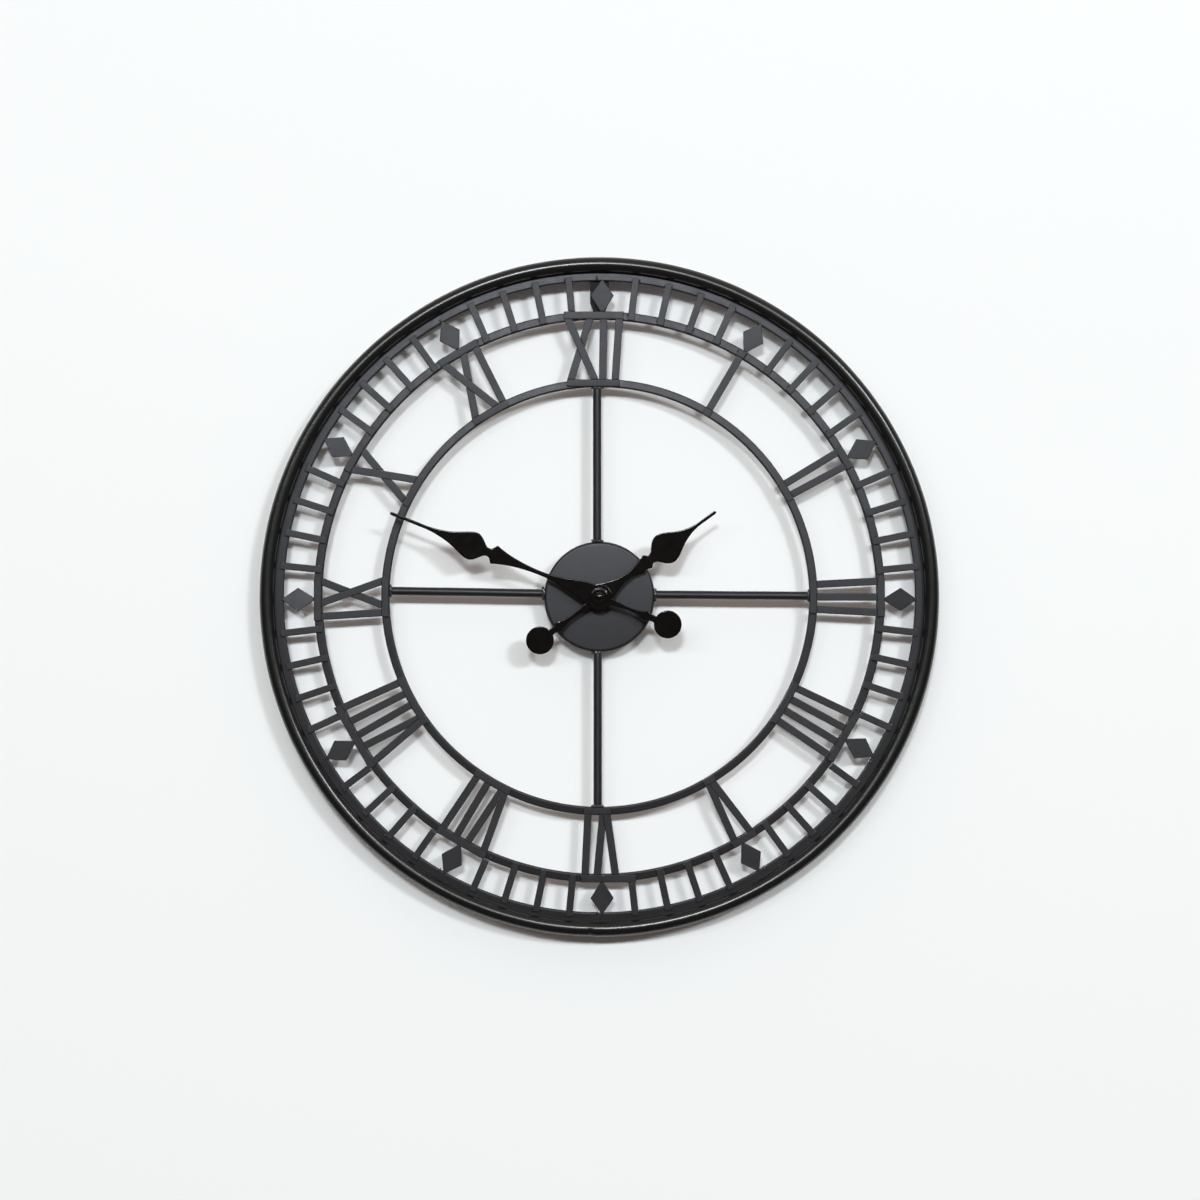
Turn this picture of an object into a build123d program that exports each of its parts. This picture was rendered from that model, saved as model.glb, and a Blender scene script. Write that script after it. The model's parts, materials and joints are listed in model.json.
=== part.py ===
"""Open-frame wall clock with welded Roman numerals, spade hands and a quartz movement.

Millimetres. The origin is the dial's centre on the wall plane. +X is to the right and +Z is up for
someone facing the clock, and +Y goes into the wall. "Depth" below is the distance out from the wall,
so a depth of 20 is y = -20. Flat pieces are drawn facing the viewer and given a back and a front depth.
"""

from build123d import *
import os
from math import acos, asin, atan2, cos, degrees, hypot, pi, radians, sin, sqrt, tan

os.makedirs("parts", exist_ok=True)

# rim and rings
rim_radius = 300.0
rim_bead_width = 13.2
rim_sheet = 1.2
rim_back_flange = 8.0
rim_depth = 30.0
ring_back = 18.5
ring_front = 21.5
outer_ring_radii = (278.8, 289.0)
minute_ring_radii = (244.7, 252.6)
numeral_ring_radii = (185.4, 192.9)

# flat strips welded on the front of the rings
strip_front = 23.0
bar_width = 6.2
bar_radii = (246.0, 283.4)
bar_start_beside_serif = 254.2
lozenge_width = 20.6
lozenge_radii = (249.6, 266.2, 281.0)
bar_circle_centre = (2.4, -2.2)  # the bars and lozenges are set out a little right of and below the dial's centre

# numerals: "outer" is the end by the minute ring, "inner" the end nearest the centre
stroke_width = 6.7
outer_serif = (245.6, 252.2)
inner_serif = (186.0, 192.2)
serif_overhang = 0.4
stroke_pitch = 13.8
letter_gap = 10.6
wide_letter_gaps = {"VII": 11.4, "VIII": 11.2, "IX": 12.0, "XI": 12.2, "XII": 12.3}
x_width = (19.2, 20.8)
v_width = (16.2, 3.6)
fan = 0.80
numeral_text = ("I", "II", "III", "IIII", "V", "VI", "VII", "VIII", "IX", "X", "XI", "XII")
numeral_shift = {1: 1.5, 2: 1.4, 4: -1.0, 5: -3.8, 6: -0.9, 7: -3.0, 8: 1.0, 9: -1.7, 10: -2.2, 11: -0.2, 12: -5.1}
long_serifs = {(6, 0): 14.4}  # how much further than its letters a serif runs, anticlockwise

# spokes, hub and hanger
spoke_radius = 3.75
spoke_depth = 20.0
spoke_offsets = {  # how far anticlockwise of its centre line each spoke is welded, at the hub and at the ring
    0: (2.0, 1.0),
    90: (2.0, 2.0),
    180: (-3.2, -5.4),
    270: (-1.5, -1.5),
}
hub_radius = 49.0
hub_sheet = 1.2
hub_front = 24.0
hub_back = 16.0
hub_edge_radius = 3.0
hanger_width = 16.4
hanger_sheet = 2.0
hanger_hole_radius = 4.0
hanger_hole_height = 266.0

# quartz movement
case_side = 56.0
case_back = 5.8
case_front = 21.8
case_wall = 1.2
cover_sheet = 1.2
divider_top = -10.6
divider_bottom = -11.8
pipe_bore = 2.56
bushing_radius = 4.0
bushing_front = 29.5
plate_back = 14.6
plate_front = 15.6
pivot_radius = 0.4
pivot_play = 0.05

# gear train: axle positions follow from tooth counts, modules and the directions below
cannon_teeth, idler_teeth, knob_teeth, motion_module = 12, 36, 12, 0.5
idler_pinion_teeth, hour_teeth, hour_module = 10, 40, 0.48
centre_teeth, third_pinion_teeth, third_teeth, fourth_pinion_teeth = 64, 8, 60, 8
fourth_teeth, fifth_pinion_teeth, fifth_teeth, rotor_teeth = 40, 8, 60, 10
third_distance = 10.0
centre_module = 2 * third_distance / (centre_teeth + third_pinion_teeth)
third_module = 2 * third_distance / (third_teeth + fourth_pinion_teeth)
fourth_module = 0.425
fifth_module = 0.22
idler_direction = 0.0
knob_direction = 30.0
third_direction = 150.0
fifth_direction = 60.0
rotor_direction = 15.0

# hands
minute_angle = 291.9
hour_angle = 53.8
hour_hand_back = 34.0
minute_hand_back = 38.0
hand_sheet = 1.0
hand_boss_radius = 11.4
tail_disc_radius = 12.3
tail_disc_distance = 64.7
hour_pipe_radius = 2.5
arbor_radius = 1.6
arbor_thread_radius = 1.3

section = Plane(origin=(0, 0, 0), x_dir=(1, 0, 0), z_dir=(0, 0, -1))


def slab(outline, back, front):
    """A flat piece cut to an outline, between two depths."""
    return extrude(Plane.XZ.offset(back) * outline, amount=front - back)


def disc(radius, back, front, at=(0, 0), bore=0.0):
    """A round plate or rod facing the viewer, with an optional hole through it."""
    outline = Circle(radius)
    if bore:
        outline -= Circle(bore)
    return slab(Pos(*at) * outline, back, front)


def polar(radius, angle, about=(0, 0)):
    """A point at a radius and an anticlockwise angle from a centre, as the viewer sees it."""
    return (about[0] + radius * cos(radians(angle)), about[1] + radius * sin(radians(angle)))


def clockwise(angle, shape):
    """Turn a flat outline clockwise about the dial's centre."""
    return Rot(0, 0, -angle) * shape


def save(node, pieces):
    """Write one node; several pieces make a group of separate solids."""
    if not isinstance(pieces, list):
        pieces = [pieces]
    solids = [solid for piece in pieces for solid in piece.solids()]
    shape = solids[0] if len(solids) == 1 else Compound(children=solids)
    shape.label = node
    export_step(shape, f"parts/{node}.step")


# ---------------------------------------------------------------- rim, rings and strips


def rim():
    """Rolled channel: a flange on the wall, a straight side, a half-round bead and a short inner lip."""
    bead = rim_bead_width / 2
    middle = rim_radius - bead
    top = rim_depth - bead
    inside = rim_radius - rim_sheet
    lip = rim_radius - rim_bead_width
    outline = [
        Line((rim_radius - rim_back_flange, 0), (rim_radius, 0)),
        Line((rim_radius, 0), (rim_radius, top)),
        ThreePointArc((rim_radius, top), (middle, rim_depth), (lip, top)),
        Line((lip, top), (lip, ring_front)),
        Line((lip, ring_front), (lip + rim_sheet, ring_front)),
        Line((lip + rim_sheet, ring_front), (lip + rim_sheet, top)),
        ThreePointArc((lip + rim_sheet, top), (middle, rim_depth - rim_sheet), (inside, top)),
        Line((inside, top), (inside, rim_sheet)),
        Line((inside, rim_sheet), (rim_radius - rim_back_flange, rim_sheet)),
        Line((rim_radius - rim_back_flange, rim_sheet), (rim_radius - rim_back_flange, 0)),
    ]
    return revolve(section * make_face(outline), Axis.Y)


def ring(radii):
    """A flat ring cut from sheet."""
    return disc(radii[1], ring_back, ring_front, bore=radii[0])


def stroke_columns(text):
    """Lay a numeral's letters out from left to right: (letter, middle at the outer end, width)."""
    widths = {"I": 0.0, "V": v_width[0], "X": x_width[0]}
    columns = []
    left = 0.0
    for index, letter in enumerate(text):
        if index:
            both_bars = letter == "I" and text[index - 1] == "I"
            left += stroke_pitch if both_bars else wide_letter_gaps.get(text, letter_gap)
        columns.append((letter, left + widths[letter] / 2, widths[letter]))
        left += widths[letter]
    return [(letter, middle - left / 2, width) for letter, middle, width in columns]


def stroke(outer_x, inner_x):
    """One straight strip between the serifs, its ends cut square to the radius."""
    length = outer_serif[0] - inner_serif[1]
    half = stroke_width / 2 * hypot(length, outer_x - inner_x) / length
    corners = (
        (outer_x - half, outer_serif[0]),
        (outer_x + half, outer_serif[0]),
        (inner_x + half, inner_serif[1]),
        (inner_x - half, inner_serif[1]),
    )
    return make_face(Polyline(*corners, close=True))


def letter_strokes(letter, outer_x, width):
    """The strips of one letter; where two strips meet, the second is cut to butt against the first."""
    inner_x = outer_x * fan
    if letter == "I":
        return [stroke(outer_x, inner_x)]
    spread = -v_width[1] / 2 if letter == "V" else x_width[1] / 2
    first = stroke(outer_x - width / 2, inner_x + spread)
    second = stroke(outer_x + width / 2, inner_x - spread)
    return [first, second - first]


def serif_span(hour, end):
    """Left and right ends of a numeral's serif; end 0 is the outer one and 1 the inner one."""
    shift = numeral_shift.get(hour, 0.0)
    reach = []
    for letter, middle, width in stroke_columns(numeral_text[hour - 1]):
        centre = (middle + shift) * (fan if end else 1.0)
        spread = {"I": 0.0, "V": v_width[end] / 2, "X": x_width[end] / 2}[letter]
        reach += [centre - spread, centre + spread]
    margin = stroke_width / 2 + serif_overhang
    return min(reach) - margin - long_serifs.get((hour, end), 0.0), max(reach) + margin


def serif(hour, end):
    """The straight strip laid across a ring at one end of a numeral."""
    low, high = outer_serif if end == 0 else inner_serif
    left, right = serif_span(hour, end)
    return Pos((left + right) / 2, (low + high) / 2) * Rectangle(right - left, high - low)


def numeral(hour):
    """All the strips of one hour's numeral, its feet towards the centre."""
    shift = numeral_shift.get(hour, 0.0)
    outlines = [serif(hour, 0), serif(hour, 1)]
    for letter, middle, width in stroke_columns(numeral_text[hour - 1]):
        outlines += letter_strokes(letter, middle + shift, width)
    return [slab(clockwise(30 * hour, outline), ring_front, strip_front) for outline in outlines]


def bar_angle(minute):
    """Clockwise angle, seen from the dial's centre, of a place set out on the bars' own circle."""
    nominal = radians(6 * minute)
    across = bar_circle_centre[0] + lozenge_radii[1] * sin(nominal)
    up = bar_circle_centre[1] + lozenge_radii[1] * cos(nominal)
    return degrees(atan2(across, up))


def minute_bars():
    """Short radial bars for the minutes between the hours; those beside a wide serif start outside it."""
    bars = []
    for minute in range(60):
        hour, past = divmod(minute, 5)
        if past == 0:
            continue
        angle = bar_angle(minute)
        start = bar_radii[0]
        for near, side in ((hour or 12, 1), (hour + 1, -1)):
            apart = side * sin(radians(angle - 30 * near)) * start - bar_width / 2 - 0.5
            reach = serif_span(near, 0)[1] if side > 0 else -serif_span(near, 0)[0]
            if past in (1, 4) and 0 < apart < reach:
                start = bar_start_beside_serif
        length = bar_radii[1] - start
        outline = Pos(0, start + length / 2) * Rectangle(bar_width, length)
        bars.append(slab(clockwise(angle, outline), ring_front, strip_front))
    return bars


def hour_lozenges():
    """A lozenge outside each numeral, its inner tip cut off flat just outside the serif."""
    tip, waist, top = lozenge_radii
    foot = outer_serif[1] + 0.1
    foot_width = lozenge_width / 2 * (foot - tip) / (waist - tip)
    corners = (
        (0, top),
        (lozenge_width / 2, waist),
        (foot_width, foot),
        (-foot_width, foot),
        (-lozenge_width / 2, waist),
    )
    outline = make_face(Polyline(*corners, close=True))
    places = [clockwise(bar_angle(5 * hour), outline) for hour in range(12)]
    return [slab(place, ring_front, strip_front) for place in places]


def spoke(direction, offset_at_hub, offset_at_ring):
    """One round rod from the hub's side to the numeral ring, both ends clear of what they are welded to."""
    start = hub_radius + 0.1
    end = sqrt((numeral_ring_radii[0] - 0.1) ** 2 - (abs(offset_at_ring) + spoke_radius) ** 2)
    reach = end - start
    lean = degrees(atan2(offset_at_ring - offset_at_hub, reach))
    length = hypot(reach, offset_at_ring - offset_at_hub)
    rod = Rot(0, 90, 0) * Cylinder(spoke_radius, length - spoke_radius * abs(sin(radians(lean))))
    middle = Pos((start + end) / 2, -spoke_depth, (offset_at_hub + offset_at_ring) / 2)
    return Rot(0, -direction, 0) * middle * Rot(0, -lean, 0) * rod


def spokes():
    """Four round rods, welded a little off their centre lines."""
    return [spoke(direction, *offsets) for direction, offsets in spoke_offsets.items()]


def hub_disc():
    """Shallow pressed pan that covers the movement."""
    bore = bushing_radius + 0.3
    inside = hub_radius - hub_sheet
    bend = hub_edge_radius - hub_sheet
    edge = hub_radius - hub_edge_radius
    back_face = hub_front - hub_sheet
    shoulder = hub_front - hub_edge_radius
    slant = hub_edge_radius * cos(pi / 4)
    inner_slant = bend * cos(pi / 4)
    outline = [
        Line((hub_radius, hub_back), (hub_radius, shoulder)),
        ThreePointArc((hub_radius, shoulder), (edge + slant, shoulder + slant), (edge, hub_front)),
        Line((edge, hub_front), (bore, hub_front)),
        Line((bore, hub_front), (bore, back_face)),
        Line((bore, back_face), (edge, back_face)),
        ThreePointArc((edge, back_face), (edge + inner_slant, shoulder + inner_slant), (inside, shoulder)),
        Line((inside, shoulder), (inside, hub_back)),
        Line((inside, hub_back), (hub_radius, hub_back)),
    ]
    return revolve(section * make_face(outline), Axis.Y)


def hanger_plate():
    """Plate across the backs of the two outer rings at the top, with a round hole for a wall screw."""
    half = hanger_width / 2
    corners = ((-4, 249), (4, 249), (half, 260), (half, 282), (-half, 282), (-half, 260))
    outline = make_face(Polyline(*corners, close=True))
    outline = fillet(outline.vertices(), 1.5)
    outline -= Pos(0, hanger_hole_height) * Circle(hanger_hole_radius)
    return slab(outline, ring_back - hanger_sheet, ring_back)


# ---------------------------------------------------------------- gears


def involute_turn(radius, base):
    """How far an involute has turned, in radians, where it reaches a radius."""
    if radius <= base:
        return 0.0
    pressure = acos(base / radius)
    return tan(pressure) - pressure


def gear_outline(teeth, module, phase, at):
    """Involute gear with one tooth centred on the phase angle, thinned a little for backlash."""
    pitch = module * teeth / 2
    base = pitch * cos(radians(20))
    root = pitch - 1.15 * module
    tip = pitch + 0.85 * module
    flank = max(base, root + 0.05 * module)
    half = pi / (2 * teeth) - 0.15 * module / (2 * pitch)
    levels = [root, flank, (flank + tip) / 2, tip]
    offsets = [half + involute_turn(pitch, base) - involute_turn(level, base) for level in levels]
    points = []
    for tooth in range(teeth):
        middle = radians(phase) + 2 * pi * tooth / teeth
        for level, offset in zip(levels, offsets):
            points.append((level * cos(middle - offset), level * sin(middle - offset)))
        for level, offset in zip(reversed(levels), reversed(offsets)):
            points.append((level * cos(middle + offset), level * sin(middle + offset)))
    return Pos(*at) * make_face(Polyline(*points, close=True))


def meshed_phase(teeth, phase, direction, other_teeth):
    """Phase of a gear that meshes with one whose phase is known; direction points at the other gear."""
    pitches = (direction - phase) / (360 / teeth)
    return direction + 180 - (0.5 - pitches) * 360 / other_teeth


def distance(module, teeth, other_teeth):
    """Centre distance of a meshed pair."""
    return module * (teeth + other_teeth) / 2


idler_at = polar(distance(motion_module, cannon_teeth, idler_teeth), idler_direction)
knob_at = polar(distance(motion_module, idler_teeth, knob_teeth), knob_direction, idler_at)
third_at = polar(third_distance, third_direction)
fifth_at = polar(distance(fourth_module, fourth_teeth, fifth_pinion_teeth), fifth_direction)
rotor_at = polar(distance(fifth_module, fifth_teeth, rotor_teeth), rotor_direction, fifth_at)


def gear(teeth, module, back, front, phase, at, bore):
    """A gear blank with a plain bore."""
    outline = gear_outline(teeth, module, phase, at)
    if bore:
        outline -= Pos(*at) * Circle(bore)
    return slab(outline, back, front)


def minute_arbor():
    """Steel arbor that carries the minute hand, with the cannon pinion on it."""
    arbor = disc(arbor_radius, 12.6, minute_hand_back)
    arbor += disc(arbor_thread_radius, minute_hand_back, 42.0)
    arbor += gear(cannon_teeth, motion_module, 16.6, 18.0, 0, (0, 0), 0)
    return arbor - disc(pivot_radius + pivot_play, 12.6, 13.6)


def idler_wheel():
    """Motion-work wheel and pinion that turn on a post of the case."""
    wheel_phase = meshed_phase(cannon_teeth, 0, idler_direction, idler_teeth)
    wheel = gear(idler_teeth, motion_module, 16.6, 17.8, wheel_phase, idler_at, 0)
    wheel += disc(1.7, 17.8, 18.4, idler_at)
    wheel += gear(idler_pinion_teeth, hour_module, 18.4, 19.6, 0, idler_at, 0)
    return wheel - disc(0.8 + pivot_play, 16.6, 19.6, idler_at)


def hour_wheel():
    """Hour wheel with the pipe that carries the hour hand through the bushing."""
    phase = meshed_phase(idler_pinion_teeth, 0, idler_direction + 180, hour_teeth)
    wheel = gear(hour_teeth, hour_module, 18.4, 19.6, phase, (0, 0), 0)
    wheel += disc(hour_pipe_radius, 19.6, hour_hand_back + 0.8)
    return wheel - disc(arbor_radius + pivot_play, 18.4, hour_hand_back + 0.8)


def setting_knob():
    """Knurled thumb knob on the back, in one piece with its stem and pinion."""
    wheel_phase = meshed_phase(cannon_teeth, 0, idler_direction, idler_teeth)
    phase = meshed_phase(idler_teeth, wheel_phase, knob_direction, knob_teeth)
    knob = gear(knob_teeth, motion_module, 16.6, 18.0, phase, knob_at, 0)
    knob += disc(1.2, 5.6, 16.6, knob_at)
    cap = Circle(4.4)
    for notch in range(20):
        cap -= Rot(0, 0, 18 * notch) * Pos(4.6, 0) * Circle(0.42)
    return knob + slab(Pos(*knob_at) * cap, 2.6, 5.6)


def arbor_between(radius, back, front, at):
    """A train arbor with a fine pivot at each end, running in the cover and the train plate."""
    return disc(pivot_radius, back, front, at) + disc(radius, 7.4, 14.3, at)


def centre_wheel():
    """Wheel driven by the train; it grips the minute arbor by friction, so the hands can be set."""
    return gear(centre_teeth, centre_module, 12.8, 13.8, 0, (0, 0), arbor_radius + pivot_play)


def third_wheel():
    """Third arbor: pinion in mesh with the centre wheel, wheel in mesh with the fourth pinion."""
    pinion_phase = meshed_phase(centre_teeth, 0, third_direction, third_pinion_teeth)
    wheel = gear(third_pinion_teeth, centre_module, 12.0, 14.0, pinion_phase, third_at, 0)
    wheel += gear(third_teeth, third_module, 11.0, 12.0, 0, third_at, 0)
    return wheel + arbor_between(0.6, 6.3, 15.5, third_at)


def fourth_wheel():
    """Fourth arbor on the clock's axis: one turn a minute, its front pivot inside the minute arbor."""
    pinion_phase = meshed_phase(third_teeth, 0, third_direction + 180, fourth_pinion_teeth)
    wheel = gear(fourth_pinion_teeth, third_module, 10.6, 12.2, pinion_phase, (0, 0), 0)
    wheel += gear(fourth_teeth, fourth_module, 9.6, 10.6, 0, (0, 0), 0)
    return wheel + disc(0.6, 7.4, 12.2) + disc(pivot_radius, 6.3, 13.4)


def fifth_wheel():
    """Fifth arbor between the rotor and the fourth wheel."""
    pinion_phase = meshed_phase(fourth_teeth, 0, fifth_direction, fifth_pinion_teeth)
    wheel = gear(fifth_pinion_teeth, fourth_module, 9.2, 10.8, pinion_phase, fifth_at, 0)
    wheel += gear(fifth_teeth, fifth_module, 8.2, 9.2, 0, fifth_at, 0)
    return wheel + arbor_between(0.6, 6.3, 15.5, fifth_at)


def rotor_pinion():
    """Rotor arbor with its pinion."""
    phase = meshed_phase(fifth_teeth, 0, rotor_direction, rotor_teeth)
    pinion = gear(rotor_teeth, fifth_module, 8.0, 9.4, phase, rotor_at, 0)
    return pinion + arbor_between(0.55, 6.3, 15.5, rotor_at)


def rotor_magnet():
    """Disc magnet pressed on the rotor arbor."""
    return disc(3.2, 10.4, 12.6, rotor_at, bore=0.6)


# ---------------------------------------------------------------- movement case and electrics

plate_screws_at = ((-16.0, -7.0), (-16.0, 14.0), (22.0, -7.0), (2.0, 15.0))
core_ends_at = ((-3.5, 21.5), (20.5, 21.5))
stator_elbows_at = ((-3.5, 15.5), (20.5, 14.5))
board_posts_at = ((-23.2, -6.0), (-23.2, 20.0))
battery_height = -19.85
coil_depth = 12.5


def movement_case():
    """Moulded tub: gear pocket above, battery pocket below, and the posts inside."""
    inside = case_side / 2 - case_wall
    case = slab(RectangleRounded(case_side, case_side, 3), case_back, case_front)
    height = inside - divider_top
    pocket = Pos(0, divider_top + height / 2) * RectangleRounded(2 * inside, height, 1.5)
    case -= slab(pocket, case_back, case_front - case_wall)
    cell_height = divider_bottom + case_side / 2 - 0.8
    cell = Pos(0, divider_bottom - cell_height / 2) * Rectangle(2 * inside, cell_height)
    case -= slab(cell, case_back, case_front - 0.9)
    lid_height = case_side / 2 - divider_bottom
    lid_space = Pos(0, divider_bottom + lid_height / 2) * Rectangle(case_side, lid_height)
    case -= slab(lid_space, case_back, case_back + cover_sheet)
    wall = case_front - case_wall
    for at in plate_screws_at:
        case += disc(1.5, plate_front, wall, at)
        case -= disc(0.65, plate_front, 19.4, at)
    for at in core_ends_at:
        case += disc(1.6, 13.0, wall, at)
        case -= disc(0.65, 13.0, 17.0, at)
    for at in board_posts_at:
        case += disc(1.4, 14.2, wall, at)
    case += disc(0.8, 16.2, wall, idler_at)
    return case - disc(pipe_bore, wall, case_front)


def movement_cover():
    """Flat back cover over the gears, with blind pivot holes and an opening for the knob's stem."""
    height = case_side / 2 - divider_bottom
    outline = RectangleRounded(case_side, case_side, 3)
    outline &= Pos(0, divider_bottom + height / 2) * Rectangle(case_side, height)
    outline -= Pos(*knob_at) * Circle(1.25)
    cover = slab(outline, case_back, case_back + cover_sheet)
    for at in (third_at, (0, 0), fifth_at, rotor_at):
        cover -= disc(pivot_radius + pivot_play, 6.2, case_back + cover_sheet, at)
    return cover


def train_plate():
    """Plate between the motion work and the train, carrying the front pivots."""
    outline = Pos(3.0, 3.2) * RectangleRounded(44.0, 26.6, 3)
    outline -= Circle(arbor_radius + 0.4)
    outline -= Pos(*knob_at) * Circle(1.25)
    for at in (third_at, fifth_at, rotor_at):
        outline -= Pos(*at) * Circle(pivot_radius + pivot_play)
    for at in plate_screws_at:
        outline -= Pos(*at) * Circle(0.65)
    return slab(outline, plate_back, plate_front)


def movement_screws():
    """Identical small screws for the train plate and the coil core."""
    screws = []
    for at in plate_screws_at:
        screws.append(disc(1.3, plate_back - 0.9, plate_back, at) + disc(0.6, plate_back, 18.4, at))
    for at in core_ends_at:
        screws.append(disc(1.3, 10.1, 11.0, at) + disc(0.6, 11.0, 14.8, at))
    return screws


def strip_between(start, end, width):
    """A straight flat strip with round ends between two points."""
    run = (end[0] - start[0], end[1] - start[1])
    middle = ((start[0] + end[0]) / 2, (start[1] + end[1]) / 2)
    angle = degrees(atan2(run[1], run[0]))
    return Pos(*middle) * Rot(0, 0, angle) * SlotCenterToCenter(hypot(*run), width)


def stator():
    """Soft-iron plate round the rotor, with a bent arm to each end of the coil core."""
    outline = Pos(*rotor_at) * Circle(6.0)
    for at, elbow in zip(core_ends_at, stator_elbows_at):
        outline += strip_between(rotor_at, elbow, 4.0)
        outline += strip_between(elbow, at, 4.0)
    outline -= Pos(*rotor_at) * Circle(3.7)
    for at in core_ends_at:
        outline -= Pos(*at) * Circle(0.65)
    return slab(outline, 11.0, 12.0)


def coil_core():
    """Straight core strip through the coil, clamped on the stator's arms."""
    length = core_ends_at[1][0] - core_ends_at[0][0]
    middle = (core_ends_at[0][0] + core_ends_at[1][0]) / 2
    outline = Pos(middle, core_ends_at[0][1]) * SlotOverall(length + 3.6, 3.6)
    for at in core_ends_at:
        outline -= Pos(*at) * Circle(0.65)
    return slab(outline, 12.0, 13.0)


def along_x(outline, start, end, height, depth):
    """Extrude an outline along X; its first axis is Z and its second is the depth."""
    plane = Plane(origin=(start, -depth, height), x_dir=(0, 0, 1), z_dir=(1, 0, 0))
    return extrude(plane * outline, amount=end - start)


def coil_bobbin():
    """Moulded bobbin with a flange at each end."""
    middle = (core_ends_at[0][0] + core_ends_at[1][0]) / 2
    height = core_ends_at[0][1]
    hole = Rectangle(3.9, 1.3)
    bobbin = along_x(Circle(2.5) - hole, middle - 9.5, middle + 9.5, height, coil_depth)
    for side in (-9.5, 8.7):
        bobbin += along_x(Circle(4.2) - hole, middle + side, middle + side + 0.8, height, coil_depth)
    return bobbin


def coil_winding():
    """Enamelled copper winding on the bobbin."""
    middle = (core_ends_at[0][0] + core_ends_at[1][0]) / 2
    ring_outline = Circle(3.8) - Circle(2.55)
    return along_x(ring_outline, middle - 8.6, middle + 8.6, core_ends_at[0][1], coil_depth)


def circuit_board():
    """Small circuit board on two posts beside the train."""
    return slab(Pos(-23.0, 7.2) * Rectangle(6.2, 33.6), 13.4, 14.2)


def chip_blob():
    """Resin blob over the clock chip."""
    blob = disc(2.2, 12.5, 13.4, (-23.0, 2.0))
    return fillet(blob.faces().sort_by(Axis.Y)[-1].edges(), 0.6)


def quartz_crystal():
    """Crystal in its metal can, lying on the board."""
    can = Pos(-23.0, -12.25, 12.0) * Cylinder(1.1, 6.4)
    return fillet(can.edges(), 0.3)


def battery():
    """Single cell with its raised end to the right."""
    start = -24.4
    cell = along_x(Circle(7.0), start, start + 49.0, battery_height, 13.4)
    cell = fillet(cell.edges(), 0.7)
    return cell + along_x(Circle(2.75), start + 49.0, start + 50.3, battery_height, 13.4)


def contact_positive():
    """Flat contact strip against the pocket's right wall."""
    strip = Rectangle(9.0, 9.0)
    wall = case_side / 2 - case_wall
    return along_x(strip, wall - 0.4, wall, battery_height, 13.4)


def contact_negative():
    """Bowed leaf spring against the pocket's left wall."""
    wall = -(case_side / 2 - case_wall)
    low = battery_height - 5.5
    high = battery_height + 5.5
    outline = [
        Line((wall, low), (wall, high)),
        Line((wall, high), (wall + 0.4, high)),
        ThreePointArc((wall + 0.4, high), (wall + 2.1, battery_height), (wall + 0.4, low)),
        Line((wall + 0.4, low), (wall, low)),
    ]
    hollow = [
        Line((wall + 0.35, low + 1.5), (wall + 0.35, high - 1.5)),
        ThreePointArc((wall + 0.35, high - 1.5), (wall + 1.75, battery_height), (wall + 0.35, low + 1.5)),
    ]
    return slab(make_face(outline) - make_face(hollow), 10.4, 16.4)


def threaded_bushing():
    """Brass bushing on the case front, through the hub."""
    return disc(bushing_radius, case_front, bushing_front, bore=pipe_bore)


def rubber_washer():
    return disc(10.0, case_front, hub_front - hub_sheet, bore=bushing_radius + 0.05)


def brass_washer():
    return disc(8.0, hub_front, hub_front + 0.6, bore=bushing_radius + 0.1)


def hex_nut():
    outline = RegularPolygon(6.9, 6) - Circle(bushing_radius + 0.05)
    return slab(outline, hub_front + 0.6, hub_front + 3.0)


# ---------------------------------------------------------------- hands


def mirrored_face(half):
    """Close a half outline, drawn up the right side, with its mirror image on the left."""
    return make_face(half + [mirror(edge, about=Plane.YZ) for edge in half])


def spade_blade(flare, barb, neck, bulb, taper, tip):
    """Blade of a spade hand, pointing up: flared arm, barb, neck, bulb and a long round-ended point."""
    half = [
        Line((0, 0), flare[0]),
        Spline(*flare, barb),
        Line(barb, neck[0]),
        Spline(*neck, *bulb, *taper),
        Line(taper[-1], (taper[-1][0], tip - taper[-1][0])),
        ThreePointArc(
            (taper[-1][0], tip - taper[-1][0]),
            (taper[-1][0] * sin(pi / 4), tip - taper[-1][0] * (1 - cos(pi / 4))),
            (0, tip),
        ),
    ]
    return mirrored_face(half)


def tail():
    """Counterweight arm of either hand, pointing down: slim arm, barb, neck and round weight."""
    half = [
        Line((0, 0), (2.6, 0)),
        Spline((2.6, 0), (2.0, -22.0), (2.2, -36.0), (4.9, -44.6)),
        Line((4.9, -44.6), (2.9, -46.6)),
        Line((2.9, -46.6), (3.1, -tail_disc_distance)),
        Line((3.1, -tail_disc_distance), (0, -tail_disc_distance)),
    ]
    return mirrored_face(half) + Pos(0, -tail_disc_distance) * Circle(tail_disc_radius)


def minute_outline():
    blade = spade_blade(
        flare=((8.9, 6.6), (8.3, 16.0), (5.0, 30.5), (2.3, 46.0), (2.0, 62.0), (4.0, 82.0)),
        barb=(8.7, 99.6),
        neck=((4.3, 102.8), (3.7, 106.2)),
        bulb=((8.2, 112.0), (12.5, 119.4), (10.9, 127.0)),
        taper=((6.3, 138.0), (3.0, 150.5), (1.5, 163.0)),
        tip=198.0,
    )
    return blade + Circle(hand_boss_radius) + tail()


def hour_outline():
    blade = spade_blade(
        flare=((9.4, 7.0), (5.2, 17.0), (2.9, 27.0), (2.6, 36.0), (4.2, 44.0)),
        barb=(6.9, 52.8),
        neck=((4.4, 55.4), (4.2, 57.6)),
        bulb=((8.8, 62.8), (14.1, 71.6), (12.4, 78.4)),
        taper=((8.0, 86.0), (3.5, 96.5), (1.4, 109.0)),
        tip=127.0,
    )
    return blade + Circle(hand_boss_radius + 0.6) + tail()


def hand(outline, angle, back, bore):
    """A hand cut from sheet, turned to the time shown."""
    return slab(clockwise(angle, outline - Circle(bore)), back, back + hand_sheet)


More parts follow.
